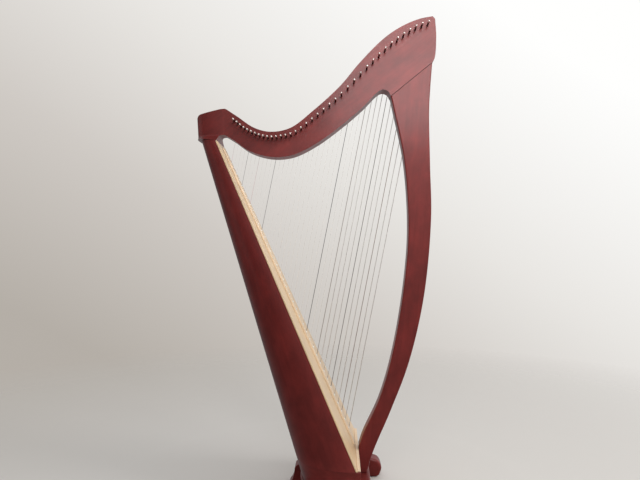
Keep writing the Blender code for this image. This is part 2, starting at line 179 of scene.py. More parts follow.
# Camera, floor and surround
CAMERA_PLACE = (72, -1682, 781)     # in profile millimetres
CAMERA_SENSOR = 36.0
CAMERA_LENS = 28.97
CAMERA_SHIFT = (-0.0312, 0.0234)
FLOOR_RADIUS = 3.2                  # this and the next two in metres
FLOOR_FADE = 3.0                    # solid to a quarter of this, gone just before it
FLOOR_DROP = 0.0005                 # keeps the soles clear of it
FLOOR_COLOUR = (0.80, 0.77, 0.73, 1.0)
# How bright a direction is, and the colour that the camera sees there
SURROUND = ((0.42, (0.46, 0.425, 0.385)), (0.60, (0.625, 0.59, 0.555)), (0.76, (0.81, 0.79, 0.76)),
            (0.97, (1.0, 1.0, 0.99)))

NECK_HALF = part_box("neck")[1].y / MM
COLUMN_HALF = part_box("column")[1].y / MM
PROFILE_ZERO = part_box("neck")[0].x - NECK_START * MM
PIN_AXES = [Vector(joint["pos_m"]) for joint in sorted(frame["joints"], key=lambda joint: joint["name"])]


# ------ places and curves
def placed(x, y, z):
    """A point in metres from profile millimetres."""
    return Vector((PROFILE_ZERO + x * MM, y * MM, z * MM))


def blend(start, end, share):
    return start + (end - start) * share


def smooth_line(points, steps):
    """Points along a centripetal Catmull-Rom curve that passes through the given ones."""
    knots = [Vector(point) for point in points]
    knots = [2 * knots[0] - knots[1]] + knots + [2 * knots[-1] - knots[-2]]
    line = []
    for a, b, c, d in zip(knots, knots[1:], knots[2:], knots[3:]):
        t1 = math.sqrt((b - a).length)
        t2 = t1 + math.sqrt((c - b).length)
        t3 = t2 + math.sqrt((d - c).length)
        for step in range(steps):
            t = blend(t1, t2, step / steps)
            ab = a.lerp(b, t / t1)
            bc = b.lerp(c, (t - t1) / (t2 - t1))
            cd = c.lerp(d, (t - t2) / (t3 - t2))
            abc = ab.lerp(bc, t / t2)
            bcd = bc.lerp(cd, (t - t1) / (t3 - t1))
            line.append(abc.lerp(bcd, (t - t1) / (t2 - t1)))
    line.append(knots[-2])
    return [tuple(point) for point in line]


def board_x(z, depth=0.0):
    """Profile X at a height, of the plane that lies a depth under the rib's face."""
    return FIRST_FOOT[0] + (FIRST_FOOT[1] - z) * math.tan(BOARD_LEAN) - depth / math.cos(BOARD_LEAN)


def back_x(z):
    x, height, slope = BACK_LINE
    return x - slope * (z - height)


def half_width(z):
    return blend(BOX_HALF_WIDTH[1], BOX_HALF_WIDTH[0], (z - BOX_BOTTOM) / (BOX_TOP - BOX_BOTTOM))


def foot_of(number):
    """Profile point on the rib's face where a string enters it."""
    constant, linear, square = FOOT_PITCH
    along = sum(constant + linear * gap + square * gap ** 2
                for gap in (step + 0.5 for step in range(number - 1)))
    return (FIRST_FOOT[0] + along * math.sin(BOARD_LEAN), FIRST_FOOT[1] - along * math.cos(BOARD_LEAN))


def on_board(number, depth):
    """A point in metres on a string's hole, a depth under the rib's face."""
    x, z = foot_of(number)
    return placed(x - depth * math.cos(BOARD_LEAN), 0, z - depth * math.sin(BOARD_LEAN))


def bass_share(number):
    """0 at the shortest string and 1 at the longest."""
    return (number - 1) / (STRINGS - 1)


def string_radius(number):
    return blend(*STRING_RADIUS, bass_share(number))


def coil_reach(number):
    """Distance from a pin's axis to the middle of the string that lies on it."""
    return PIN_RADIUS - PIN_BITE + string_radius(number)


def string_course(number):
    """A string in the profile: its pin's axis, where it bends, and the direction to its left."""
    share = bass_share(number)
    foot = Vector(foot_of(number))
    axis = PIN_AXES[number - 1]
    pin = Vector(((axis.x - PROFILE_ZERO) / MM, axis.z / MM))
    aim = pin + Vector((blend(*BRIDGE_SHIFT, share), 0))
    direction = (aim - foot).normalized()
    left = Vector((-direction.y, direction.x))
    bend = aim - direction * blend(*BRIDGE_DROP, share)
    return pin, bend, left


# ------ mesh tools
def add_object(name, data):
    made = bpy.data.objects.new(name, data)
    bpy.context.scene.collection.objects.link(made)
    return made


def mesh_from(shape, name):
    """A mesh from a bmesh, which is freed."""
    mesh = bpy.data.meshes.new(name)
    shape.to_mesh(mesh)
    shape.free()
    return mesh


def smooth_faces(mesh, sharp):
    """Smooth shading, except across edges sharper than an angle in degrees."""
    mesh.shade_smooth()
    mesh.set_sharp_from_angle(angle=math.radians(sharp))


def make_piece(name, shape, finishes, body=BODY, stands_for=(), sharp=40.0):
    """An object from a bmesh, riding on its body, in place of the CAD nodes it stands for."""
    mesh = mesh_from(shape, name)
    smooth_faces(mesh, sharp)
    made = add_object(name, mesh)
    for finish in finishes if isinstance(finishes, list) else [finishes]:
        mesh.materials.append(finish)
    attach(made, body)
    if stands_for:
        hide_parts(*stands_for)
    return made


def outward(shape):
    bmesh.ops.recalc_face_normals(shape, faces=shape.faces)
    return shape


def add_loft(shape, rings, closed=True, caps=True, material_index=0):
    """Faces through rings of points; returns the loops of vertices."""
    loops = [[shape.verts.new(point) for point in ring] for ring in rings]
    count = len(loops[0])
    for low, high in zip(loops, loops[1:]):
        for side in range(count if closed else count - 1):
            after = (side + 1) % count
            face = shape.faces.new((low[side], low[after], high[after], high[side]))
            face.material_index = material_index
    if caps:
        shape.faces.new(loops[0][::-1]).material_index = material_index
        shape.faces.new(loops[-1]).material_index = material_index
    return loops


def add_tube(shape, path, radius, sides):
    """A tube along a path; its radius is a number or one number for each point."""
    radii = radius if isinstance(radius, list) else [radius] * len(path)
    rings = []
    normal = (path[1] - path[0]).orthogonal().normalized()
    for index, point in enumerate(path):
        arriving = (point - path[max(index - 1, 0)]).normalized()
        leaving = (path[min(index + 1, len(path) - 1)] - point).normalized()
        tangent = (arriving + leaving).normalized()
        normal = (normal - tangent * normal.dot(tangent)).normalized()
        across = tangent.cross(normal)
        turns = [2 * math.pi * side / sides for side in range(sides)]
        rings.append([point + radii[index] * MM * (math.cos(turn) * normal + math.sin(turn) * across)
                      for turn in turns])
    add_loft(shape, rings)


def weigh_edges(shape, weight_of):
    """Bevel weights from a function of an edge's two ends; None keeps an edge sharp."""
    weights = shape.edges.layers.float.new("bevel_weight_edge")
    for edge in shape.edges:
        edge[weights] = weight_of(*(vert.co for vert in edge.verts)) or 0.0


def round_edges(made, width, segments, angle=None):
    """Rounded edges: the weighted ones, or those sharper than an angle."""
    bevel = made.modifiers.new("round_edges", "BEVEL")
    bevel.width = width * MM
    bevel.segments = segments
    if angle is None:
        bevel.limit_method = "WEIGHT"
    else:
        bevel.limit_method = "ANGLE"
        bevel.angle_limit = math.radians(angle)
    normals = made.modifiers.new("even_shading", "WEIGHTED_NORMAL")
    normals.keep_sharp = True


def slab(outline, half):
    """A profile outline made solid, equally far to both sides of the middle plane."""
    shape = bmesh.new()
    add_loft(shape, [[placed(x, y, z) for x, z in outline] for y in (-half, half)])
    return outward(shape)


# ------ node tools
def new_material(name):
    """A material with its node tree, its shader and the socket of the piece's own coordinates."""
    made = bpy.data.materials.new(name)
    made.use_nodes = True
    tree = made.node_tree
    return made, tree, tree.nodes["Principled BSDF"], add_node(tree, "TexCoord").outputs["Object"]


def feed(tree, node, inputs):
    """Gives each named input of a node a value or the socket that feeds it."""
    for name, value in inputs.items():
        if isinstance(value, bpy.types.NodeSocket):
            tree.links.new(value, node.inputs[name])
        else:
            node.inputs[name].default_value = value


def add_node(tree, kind, inputs=None, **settings):
    made = tree.nodes.new("ShaderNode" + kind)
    for name, value in settings.items():
        setattr(made, name, value)
    feed(tree, made, inputs or {})
    return made


def ramp(tree, fac, stops):
    """A colour ramp with (position, grey or colour) stops."""
    made = add_node(tree, "ValToRGB", {"Fac": fac})
    elements = made.color_ramp.elements
    while len(elements) < len(stops):
        elements.new(0.5)
    for element, (position, colour) in zip(elements, stops):
        element.position = position
        if isinstance(colour, (int, float)):
            colour = (colour, colour, colour)
        element.color = (*colour, 1.0)
    return made.outputs["Color"]


def mix_colours(tree, share, first, second, how="MIX"):
    first, second = ((*value, 1.0) if isinstance(value, tuple) else value for value in (first, second))
    return add_node(tree, "Mix", {0: share, 6: first, 7: second}, data_type="RGBA",
                    blend_type=how).outputs[2]


def noise(tree, place, scale, detail, roughness=0.55, distortion=0.0, turn=0.0):
    """Noise over coordinates that are turned about Y, then scaled along each axis."""
    if turn:
        place = add_node(tree, "Mapping", {"Vector": place, "Rotation": (0.0, turn, 0.0)}).outputs[0]
    place = add_node(tree, "Mapping", {"Vector": place, "Scale": scale}).outputs[0]
    return add_node(tree, "TexNoise", {"Vector": place, "Scale": 1.0, "Detail": detail,
                                       "Roughness": roughness, "Distortion": distortion}).outputs["Fac"]


def arithmetic(tree, operation, first, second):
    return add_node(tree, "Math", {0: first, 1: second}, operation=operation).outputs[0]


def bump(tree, height, strength, distance):
    return add_node(tree, "Bump", {"Height": height, "Strength": strength,
                                   "Distance": distance}).outputs["Normal"]


# ------ materials
# Scales of noise are per metre: along the grain, then across it in both directions.
def lacquered_wood(name, dark, light, grain_turn, gloss=0.5, coat=0.4):
    """Stained hardwood under satin lacquer, with its grain along X once turned about Y."""
    made, tree, shader, place = new_material(name)
    streaks = noise(tree, place, (4.0, 75.0, 75.0), 6.0, 0.6, 0.6, grain_turn)
    figure = noise(tree, place, (1.6, 9.0, 9.0), 3.0, 0.5, 1.2, grain_turn)
    pores = noise(tree, place, (45.0, 850.0, 850.0), 2.0, 0.5, turn=grain_turn)
    pores = ramp(tree, pores, ((0.60, 0.0), (0.70, 1.0)))
    tone = arithmetic(tree, "ADD", arithmetic(tree, "MULTIPLY", streaks, 0.6),
                      arithmetic(tree, "MULTIPLY", figure, 0.4))
    colour = ramp(tree, tone, ((0.32, dark), (0.68, light)))
    patches = noise(tree, place, (16.0, 28.0, 28.0), 4.0, 0.6, turn=grain_turn)
    shade = add_node(tree, "MapRange", {"Value": patches, "From Min": 0.3, "From Max": 0.7,
                                        "To Min": 0.80, "To Max": 1.20}).outputs[0]
    colour = mix_colours(tree, 1.0, colour, shade, "MULTIPLY")
    colour = mix_colours(tree, arithmetic(tree, "MULTIPLY", pores, 0.25), colour,
                         tuple(channel * 0.4 for channel in dark))
    edges = ramp(tree, add_node(tree, "NewGeometry").outputs["Pointiness"], ((0.52, 0.0), (0.60, 1.0)))
    worn = tuple(min(channel * 1.5 + 0.012, 1.0) for channel in light)
    wear = arithmetic(tree, "MULTIPLY", edges, noise(tree, place, (60, 60, 60), 3.0))
    colour = mix_colours(tree, arithmetic(tree, "MULTIPLY", wear, 0.5), colour, worn)
    smear = noise(tree, place, (14.0, 22.0, 22.0), 4.0, turn=grain_turn)
    rough = add_node(tree, "MapRange", {"Value": smear, "From Min": 0.3, "From Max": 0.7,
                                        "To Min": gloss - 0.03, "To Max": gloss + 0.03}).outputs[0]
    height = arithmetic(tree, "SUBTRACT", arithmetic(tree, "MULTIPLY", streaks, 0.5), pores)
    feed(tree, shader, {"Base Color": colour, "Roughness": rough, "Specular IOR Level": 0.30,
                        "Coat Weight": coat, "Coat Roughness": 0.18,
                        "Normal": bump(tree, height, 0.10, 0.0003)})
    return made


def spruce(name, pale, line):
    """Straight-grained softwood: fine darker lines, spaced across the harp."""
    made, tree, shader, place = new_material(name)
    wander = noise(tree, place, (6.0, 6.0, 6.0), 3.0)
    sway = add_node(tree, "CombineXYZ", {0: wander, 1: wander, 2: wander}).outputs[0]
    sway = add_node(tree, "VectorMath", {0: sway, 1: (0.004, 0.004, 0.004)},
                    operation="MULTIPLY").outputs[0]
    bent = add_node(tree, "VectorMath", {0: place, 1: sway}, operation="ADD").outputs[0]
    rings = add_node(tree, "TexWave", {"Vector": bent, "Scale": 95.0, "Distortion": 0.5, "Detail": 2.0,
                                       "Detail Scale": 1.3}, bands_direction="Y",
                     wave_profile="SAW").outputs["Fac"]
    lines = ramp(tree, rings, ((0.55, 0.0), (0.97, 1.0)))
    flecks = noise(tree, place, (7.0, 160.0, 7.0), 2.0, 0.5)
    colour = mix_colours(tree, arithmetic(tree, "MULTIPLY", lines, 0.35), pale, line)
    shade = ramp(tree, flecks, ((0.3, 0.90), (0.7, 1.06)))
    colour = mix_colours(tree, 1.0, colour, shade, "MULTIPLY")
    cloud = ramp(tree, noise(tree, place, (5.0, 9.0, 5.0), 3.0), ((0.3, 0.93), (0.7, 1.05)))
    colour = mix_colours(tree, 1.0, colour, cloud, "MULTIPLY")
    feed(tree, shader, {"Base Color": colour, "Roughness": 0.42, "Coat Weight": 0.15,
                        "Coat Roughness": 0.3, "Normal": bump(tree, flecks, 0.06, 0.0002)})
    return made


def bare_wood(name, pale, dark, turn=0.0):
    """Unfinished inner wood with a soft open grain."""
    made, tree, shader, place = new_material(name)
    grain = noise(tree, place, (9.0, 130.0, 130.0), 6.0, 0.65, 0.5, turn)
    figure = noise(tree, place, (3.0, 20.0, 20.0), 3.0, 0.5, 1.0, turn)
    tone = arithmetic(tree, "ADD", arithmetic(tree, "MULTIPLY", grain, 0.6),
                      arithmetic(tree, "MULTIPLY", figure, 0.4))
    feed(tree, shader, {"Base Color": ramp(tree, tone, ((0.34, dark), (0.66, pale))), "Roughness": 0.72,
                        "Normal": bump(tree, grain, 0.18, 0.0003)})
    return made


def metal(name, colour, rough, marks=260.0, solid=1.0):
    """Drawn or turned metal with fine marks round its length; solid is how metallic it is."""
    made, tree, shader, place = new_material(name)
    lines = noise(tree, place, (marks, marks * 9, marks), 3.0, 0.6)
    tarnish = noise(tree, place, (110.0, 110.0, 110.0), 4.0)
    dull = tuple(channel * 0.62 for channel in colour)
    spread = add_node(tree, "MapRange", {"Value": lines, "To Min": rough - 0.08,
                                         "To Max": rough + 0.14}).outputs[0]
    feed(tree, shader, {"Base Color": ramp(tree, tarnish, ((0.35, dull), (0.62, colour))),
                        "Roughness": spread, "Metallic": solid,
                        "Normal": bump(tree, lines, 0.06, 0.0002)})
    return made


def string_line(name, colour, cover=1.0):
    """Nylon or gut: smooth and more or less see-through, a little uneven along its length."""
    made, tree, shader, place = new_material(name)
    uneven = noise(tree, place, (90.0, 90.0, 90.0), 3.0)
    deep = tuple(channel * 0.95 for channel in colour)
    feed(tree, shader, {"Base Color": ramp(tree, uneven, ((0.35, deep), (0.65, colour))),
                        "Roughness": 0.25, "Alpha": cover, "Normal": bump(tree, uneven, 0.05, 0.0001)})
    return made


def wound_string(name, colour):
    """Wire wound over a core: the turns lie side by side along the string, with painted shade in the
    grooves between them.
    """
    made, tree, shader, place = new_material(name)
    turns = add_node(tree, "TexWave", {"Vector": place, "Scale": 0.5 / (WINDING_PITCH * MM)},
                     bands_direction="Z", wave_profile="SIN").outputs["Fac"]
    # Painted shade: the grooves between the turns are painted darker.
    groove_shade = tuple(channel * 0.4 for channel in colour)
    feed(tree, shader, {"Base Color": ramp(tree, turns, ((0.1, groove_shade), (0.6, colour))),
                        "Metallic": 0.75, "Roughness": 0.42, "Normal": bump(tree, turns, 0.5, 0.0003)})
    return made


def moulded(name, colour):
    """Bone-like plastic of the grommets."""
    made, tree, shader, place = new_material(name)
    specks = noise(tree, place, (420.0, 420.0, 420.0), 3.0)
    deep = tuple(channel * 0.93 for channel in colour)
    feed(tree, shader, {"Base Color": ramp(tree, specks, ((0.35, deep), (0.6, colour))), "Roughness": 0.3,
                        "Subsurface Weight": 0.1, "Subsurface Radius": (0.002, 0.0015, 0.001)})
    return made


RED_DARK = (0.150, 0.0120, 0.0100)
RED_LIGHT = (0.205, 0.0200, 0.0165)
NECK_GRAIN = math.radians(38)
COLUMN_GRAIN = math.radians(86)
SHELL_GRAIN = math.radians(110)

neck_wood = lacquered_wood("neck_lacquer", RED_DARK, RED_LIGHT, NECK_GRAIN)
column_wood = lacquered_wood("column_lacquer", RED_DARK, RED_LIGHT, COLUMN_GRAIN)
shell_wood = lacquered_wood("shell_lacquer", RED_DARK, RED_LIGHT, SHELL_GRAIN, coat=0.15)
base_wood = lacquered_wood("base_lacquer", RED_DARK, RED_LIGHT, 0.0, coat=0.2)
joint_dark = lacquered_wood("joint_line", (0.012, 0.002, 0.002), (0.02, 0.003, 0.003), 0.0, 0.6)
board_spruce = spruce("board_spruce", (0.86, 0.62, 0.37), (0.76, 0.50, 0.27))
rib_spruce = spruce("rib_spruce", (0.90, 0.69, 0.47), (0.85, 0.62, 0.40))
beech = bare_wood("bare_beech", (0.55, 0.36, 0.20), (0.40, 0.24, 0.12), SHELL_GRAIN)
ash = bare_wood("bare_ash", (0.58, 0.42, 0.26), (0.42, 0.28, 0.15))
inner_wood = bare_wood("shell_inside", (0.36, 0.20, 0.12), (0.24, 0.12, 0.07), SHELL_GRAIN)
pin_steel = metal("pin_steel", (0.98, 0.88, 0.83), 0.40, solid=0.6)
# Painted shade and painted dark reflection: a dark copy of the pin steel for the pin's shank.
pin_painted_shade_steel = metal("pin_painted_shade_steel", (0.16, 0.14, 0.14), 0.38)
bridge_brass = metal("bridge_brass", (0.72, 0.55, 0.28), 0.25)
bolt_steel = metal("bolt_steel", (0.55, 0.55, 0.56), 0.4, 150.0)
clear_nylon = string_line("clear_nylon", (0.92, 0.92, 0.90), 0.16)
clear_gut = string_line("clear_gut", (0.90, 0.87, 0.80), 0.20)
red_string = string_line("red_string", (0.60, 0.20, 0.21), 0.36)
black_string = string_line("black_string", (0.018, 0.018, 0.022))
brown_gut = string_line("brown_gut", (0.26, 0.21, 0.18))
wound_wire = wound_string("wound_wire", (0.74, 0.69, 0.65))
copper_wire = wound_string("copper_wire", (0.42, 0.31, 0.28))
dark_wire = wound_string("dark_wire", (0.20, 0.16, 0.15))
grommet_cream = moulded("grommet_cream", (0.97, 0.95, 0.91))


# ------ neck, column and shoulder
def joint_offset(outward_side, gap):
    """Half of a gap, square to the joint between neck and column."""
    along = (Vector(JOINT_OUTER) - Vector(JOINT_INNER)).normalized()
    return Vector((-along.y, along.x)) * outward_side * gap / 2


def on_joint(point):
    """Whether a point in metres lies on the joint between neck and column."""
    start, end = placed(JOINT_INNER[0], 0, JOINT_INNER[1]), placed(JOINT_OUTER[0], 0, JOINT_OUTER[1])
    along = (end - start).normalized()
    across = Vector((-along.z, 0, along.x))
    return abs((point - start).dot(across)) < MM


def weigh_profile(shape, hidden_below):
    """Weights for the rims of both faces: less along the joint, none where X is below a limit."""
    def weight(a, b):
        if abs(a.y - b.y) > MM or (a.x < hidden_below and b.x < hidden_below):
            return None
        return JOINT_ARRIS if on_joint(a) and on_joint(b) else 1.0

    weigh_edges(shape, weight)


def make_neck():
    shift = joint_offset(1, JOINT_GAP)
    # The top line starts lower, on the shoulder's rounded crest, and soon joins NECK_TOP.
    crest = NECK_TOP[0][1] - CREST_ROUNDING
    top = [(NECK_START, crest), (NECK_START + 3.5, crest - 1.2), (NECK_START + 7, crest - 2.9)]
    top += smooth_line(NECK_TOP, 12)[3:]
    tip = smooth_line(NECK_TIP, 10)
    under = smooth_line(NECK_ARCH + NECK_UNDER, 12)
    tip[-1] = tuple(Vector(tip[-1]) + shift)
    under[0] = tuple(Vector(under[0]) + shift)
    shape = slab(top + tip + under, NECK_HALF)
    start = placed(NECK_START, 0, 0).x + 0.05 * MM
    for vert in shape.verts:
        if vert.co.x < start:
            vert.co.x -= NECK_OVERLAP * MM
    weigh_profile(shape, start)
    made = make_piece("neck_wood", shape, neck_wood, stands_for=["neck"])
    round_edges(made, NECK_ROUNDING, 4)


def make_column():
    shift = joint_offset(-1, JOINT_GAP)
    outer = smooth_line(COLUMN_OUTER, 14)
    inner = [(BASE_FRONT + FIT, STAND)] + smooth_line(COLUMN_INNER, 14)
    outer[0] = tuple(Vector(outer[0]) + shift)
    inner[-1] = tuple(Vector(inner[-1]) + shift)
    shape = slab(outer + inner, COLUMN_HALF)
    weigh_profile(shape, placed(BASE_FRONT + FIT, 0, 0).x + 0.5 * MM)
    made = make_piece("column_wood", shape, column_wood, stands_for=["column"])
    round_edges(made, COLUMN_ROUNDING, 4)


def make_joint_line():
    """The dark glue line, sunk a little below the faces of neck and column."""
    inner, outer = Vector(JOINT_INNER), Vector(JOINT_OUTER)
    along = (outer - inner).normalized() * LINE_SHORT
    across = joint_offset(1, JOINT_GAP + 2 * LINE_TUCK)
    corners = [inner + along - across, outer - along - across, outer - along + across,
               inner + along + across]
    shape = slab([tuple(corner) for corner in corners], COLUMN_HALF - LINE_SUNK)
    make_piece("column_joint_line", shape, joint_dark)


def d_ring(z, half, front, back, inset=0.0, points=48, roundness=BOX_ROUNDNESS):
    """A level section with a flat front: a half superellipse from one front corner to the other."""
    ring = []
    for index in range(points + 1):
        turn = blend(-math.pi / 2, math.pi / 2, index / points)
        side = math.copysign(abs(math.sin(turn)) ** (2 / roundness), math.sin(turn))
        depth = abs(math.cos(turn)) ** (2 / roundness)
        ring.append(placed(front - depth * (front - back - inset), side * (half - inset), z))
    return ring


def joint_rise(point):
    """How far the joint under the shoulder lies above BOX_TOP at a point, in millimetres."""
    return JOINT_SLOPE * (SHOULDER_FRONT - (point.x - PROFILE_ZERO) / MM)


def make_shoulder():
    """The flared block between the soundbox's narrow end and the neck."""
    half, back = SHOULDER_FOOT
    foot = d_ring(BOX_TOP + FIT, half, SHOULDER_FRONT - FIT, back, roundness=SHOULDER_ROUNDNESS)
    for point in foot:
        point.z += joint_rise(point) * MM
    rings = [foot]
    for z, half, front, back in smooth_line(SHOULDER_FLARE, 4) + smooth_line(SHOULDER_UPPER, 4):
        ring = d_ring(z, half, front - FIT, back, roundness=SHOULDER_ROUNDNESS)
        # No section may dip under the one before, as the lowest one is tilted.
        for low, high in zip(rings[-1], ring):
            high.z = max(high.z, low.z + 0.15 * MM)
        rings.append(ring)
    neck_top = NECK_TOP[0][1]
    crown = d_ring(neck_top, SHOULDER_HALF, NECK_START - FIT, SHOULDER_BACK, roundness=SHOULDER_ROUNDNESS)
    back_end, front_end = placed(SHOULDER_BACK, 0, 0).x, placed(NECK_START - FIT, 0, 0).x
    # The crown falls away at its back edge and meets the neck's lowered crest at its front.
    for point in crown:
        share = (point.x - back_end) / (front_end - back_end)
        fall = 9.0 * (max(0.0, 0.12 - share) / 0.12) ** 2
        crest = CREST_ROUNDING * (max(0.0, share - 0.9) / 0.1) ** 2
        point.z = (blend(SHOULDER_CROWN, neck_top, share) - fall - crest) * MM
    shape = bmesh.new()
    loops = add_loft(shape, rings + [crown])
    outward(shape)
    weights = shape.edges.layers.float.new("bevel_weight_edge")
    crown_loop = loops[-1]
    for first, second in zip(crown_loop, crown_loop[1:]):
        share = ((first.co + second.co).x / 2 - back_end) / (front_end - back_end)
        shape.edges.get((first, second))[weights] = blend(1.0, 0.42, min(share * 1.6, 1.0))
    made = make_piece("shoulder_wood", shape, neck_wood, stands_for=["shoulder_block"],
                      sharp=50.0)
    round_edges(made, SHOULDER_ROUNDING, 4)


# ------ soundbox
def wall_rings(z):
    """The outer and the inner level section of the soundbox's wall."""
    front = board_x(z, RIB_THICKNESS + BOARD_THICKNESS + 2 * FIT)
    return [d_ring(z, half_width(z), front, back_x(z), inset, WALL_POINTS) for inset in (0.0, SHELL_WALL)]


def make_shell():
    """The bent wall, lacquered outside and bare inside, with the oval holes in its back."""
    outer, inner = zip(*(wall_rings(blend(BOX_BOTTOM, BOX_TOP, step / WALL_STEPS))
                         for step in range(WALL_STEPS)))
    level = wall_rings(BOX_TOP)
    tilted = [[wall_rings(BOX_TOP + joint_rise(point))[side][index] for index, point in enumerate(ring)]
              for side, ring in enumerate(level)]
    outer, inner = list(outer) + [tilted[0]], list(inner) + [tilted[1]]
    shape = bmesh.new()
    outer_loops = add_loft(shape, outer, closed=False, caps=False)
    inner_loops = add_loft(shape, inner, closed=False, caps=False, material_index=1)
    for first, second in ((outer_loops[0], inner_loops[0]), (outer_loops[-1], inner_loops[-1]),
                          ([loop[0] for loop in outer_loops], [loop[0] for loop in inner_loops]),
                          ([loop[-1] for loop in outer_loops], [loop[-1] for loop in inner_loops])):
        for a, b, c, d in zip(first, first[1:], second[1:], second):
            shape.faces.new((a, b, c, d)).material_index = 1
    made = make_piece("soundbox_shell_wood", outward(shape), [shell_wood, inner_wood],
                      stands_for=["soundbox_shell"])
    cut_access_holes(made)


def cut_access_holes(shell):
    """Oval holes, each with its long axis up the back and its depth square to the back."""
    holes = bmesh.new()
    lean = Matrix.Rotation(math.pi / 2 - math.atan(BACK_LINE[2]), 4, "Y")
    for middle, long_axis, short_axis in ACCESS_HOLES:
        place = Matrix.Translation(placed(back_x(middle), 0, middle)) @ lean
        size = Matrix.Diagonal((long_axis * MM, short_axis * MM, CUTTER_DEPTH * MM, 1.0))
        bmesh.ops.create_cone(holes, cap_ends=True, segments=96, radius1=1.0, radius2=1.0, depth=1.0,
                              matrix=place @ size)
    mesh = mesh_from(holes, "access_hole_cutter")
    mesh.materials.append(shell_wood)
    cutter = add_object("access_hole_cutter", mesh)
    cut = shell.modifiers.new("access_holes", "BOOLEAN")
    cut.operation = "DIFFERENCE"
    cut.object = cutter
    evaluated = shell.evaluated_get(bpy.context.evaluated_depsgraph_get())
    cut_mesh = bpy.data.meshes.new_from_object(evaluated)
    shell.modifiers.clear()
    shell.data = cut_mesh
    cut_mesh.name = "soundbox_shell_wood"
    bpy.data.objects.remove(cutter)


def board_layer(depth, thickness, low, high, half_low, half_high):
    """A flat tapered strip parallel to the soundboard, with level ends."""
    shape = bmesh.new()
    rings = []
    for z, half in ((low, half_low), (high, half_high)):
        front, rear = board_x(z, depth), board_x(z, depth + thickness)
        rings.append([placed(front, -half, z), placed(front, half, z), placed(rear, half, z),
                      placed(rear, -half, z)])
    add_loft(shape, rings)
    return outward(shape)


def make_soundboard():
    shape = board_layer(RIB_THICKNESS + FIT, BOARD_THICKNESS, BOX_BOTTOM + FIT, BOX_TOP - FIT,
                        half_width(BOX_BOTTOM), half_width(BOX_TOP))
    board = make_piece("soundboard_wood", shape, board_spruce, stands_for=["soundboard"])
    round_edges(board, BOARD_ROUNDING, 3, 30.0)
    shape = board_layer(0.0, RIB_THICKNESS, *RIB_ENDS, *RIB_HALF_WIDTH)
    face = placed(board_x(0.0), 0, 0).x

    def weight(a, b):
        fronts = [point.x + point.z * math.tan(BOARD_LEAN) > face - 0.5 * MM for point in (a, b)]
        return 1.0 if all(fronts) else None

    weigh_edges(shape, weight)
    rib = make_piece("string_rib_wood", shape, rib_spruce, stands_for=["string_rib"])
    round_edges(rib, RIB_ROUNDING, 6)


def board_frame(number, depth):
    """A string hole's place, with Z out of the soundboard."""
    up = Matrix.Rotation(math.pi / 2 - BOARD_LEAN, 4, "Y")
    return Matrix.Translation(on_board(number, depth)) @ up


def ring_profile(shape, place, profile):
    """A turned closed ring round Z from (radius, height) points in millimetres."""
    sides = 20
    rings = []
    for side in range(sides):
        turn = 2 * math.pi * side / sides
        around = Vector((math.cos(turn), math.sin(turn), 0.0))
        rings.append([place @ ((around * radius + Vector((0, 0, height))) * MM)
                      for radius, height in profile])
    add_loft(shape, rings + rings[:1], caps=False)
    bmesh.ops.remove_doubles(shape, verts=shape.verts, dist=1e-7)


def make_sill():
    """The light strip on the base block that covers the soundboard's lower edge."""
    shape = bmesh.new()
    reach = half_width(BOX_BOTTOM) - SHELL_WALL
    low, high = BOX_BOTTOM, BOX_BOTTOM + SILL_HEIGHT
    front = BASE_FRONT - FIT
    corners = [(board_x(low, RIB_THICKNESS), low), (board_x(high, RIB_THICKNESS), high), (front, high),
               (front, low)]
    add_loft(shape, [[placed(x, y, z) for x, z in corners] for y in (-reach, reach)])
    made = make_piece("soundboard_sill", outward(shape), rib_spruce)
    round_edges(made, SILL_ROUNDING, 2, 30.0)


def make_grommets():
    """The lipped rings that line the string holes in the rib."""
    shape = bmesh.new()
    for number in range(1, STRINGS + 1):
        hole = string_radius(number) + GROMMET_CLEARANCE
        lip = blend(*GROMMET_LIP, bass_share(number))
        barrel = hole + GROMMET_WALL
        profile = [(hole, -GROMMET_DEPTH), (hole, 1.5), (hole + 0.35, 2.0), (lip - 0.7, 1.9), (lip, 1.1),
                   (lip, 0.02), (barrel, 0.0), (barrel, -GROMMET_DEPTH)]
        ring_profile(shape, board_frame(number, 0.0), profile)
    make_piece("string_grommets", outward(shape), grommet_cream)


# ------ base and feet
def make_base():
    block = bmesh.new()
    add_loft(block, [d_ring(z, half_width(BOX_BOTTOM), BASE_FRONT, back_x(z), points=WALL_POINTS)
                     for z in (STAND, BOX_BOTTOM - FIT)])
    block = make_piece("base_block_wood", outward(block), base_wood, stands_for=["base_block"],
                       sharp=30.0)
    round_edges(block, BLOCK_ROUNDING, 2, 50.0)
    half, back = half_width(BOX_BOTTOM) + PLATE_LIP, back_x(PLATE_TOP) - PLATE_LIP
    plate = bmesh.new()
    add_loft(plate, [d_ring(corner.z / MM, half, PLATE_FRONT, back, points=WALL_POINTS)
                     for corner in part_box("base_plate")])
    plate = make_piece("base_plate_wood", outward(plate), base_wood, stands_for=["base_plate"],
                       sharp=30.0)
    round_edges(plate, PLATE_ROUNDING, 4, 50.0)


def make_feet():
    front = [(FRONT_FOOT_HEEL, 0), (FRONT_FOOT_SOLE, 0), *smooth_line(FRONT_FOOT_NOSE, 8),
             (FRONT_FOOT_HEEL, FOOT_TOP)]
    rear = [(REAR_FOOT_HEEL, 0), (REAR_FOOT_HEEL, FOOT_TOP), *smooth_line(REAR_FOOT_NOSE, 8)]
    for side in ("left", "right"):
        for end, outline in (("front", front), ("rear", rear)):
            node = f"{end}_foot_{side}"
            low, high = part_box(node)
            shape = bmesh.new()
            add_loft(shape, [[placed(x, y / MM, z) for x, z in outline] for y in (low.y, high.y)])
            made = make_piece(node + "_wood", outward(shape), base_wood, stands_for=[node],
                              sharp=35.0)
            round_edges(made, FOOT_ROUNDING, 5, 60.0)


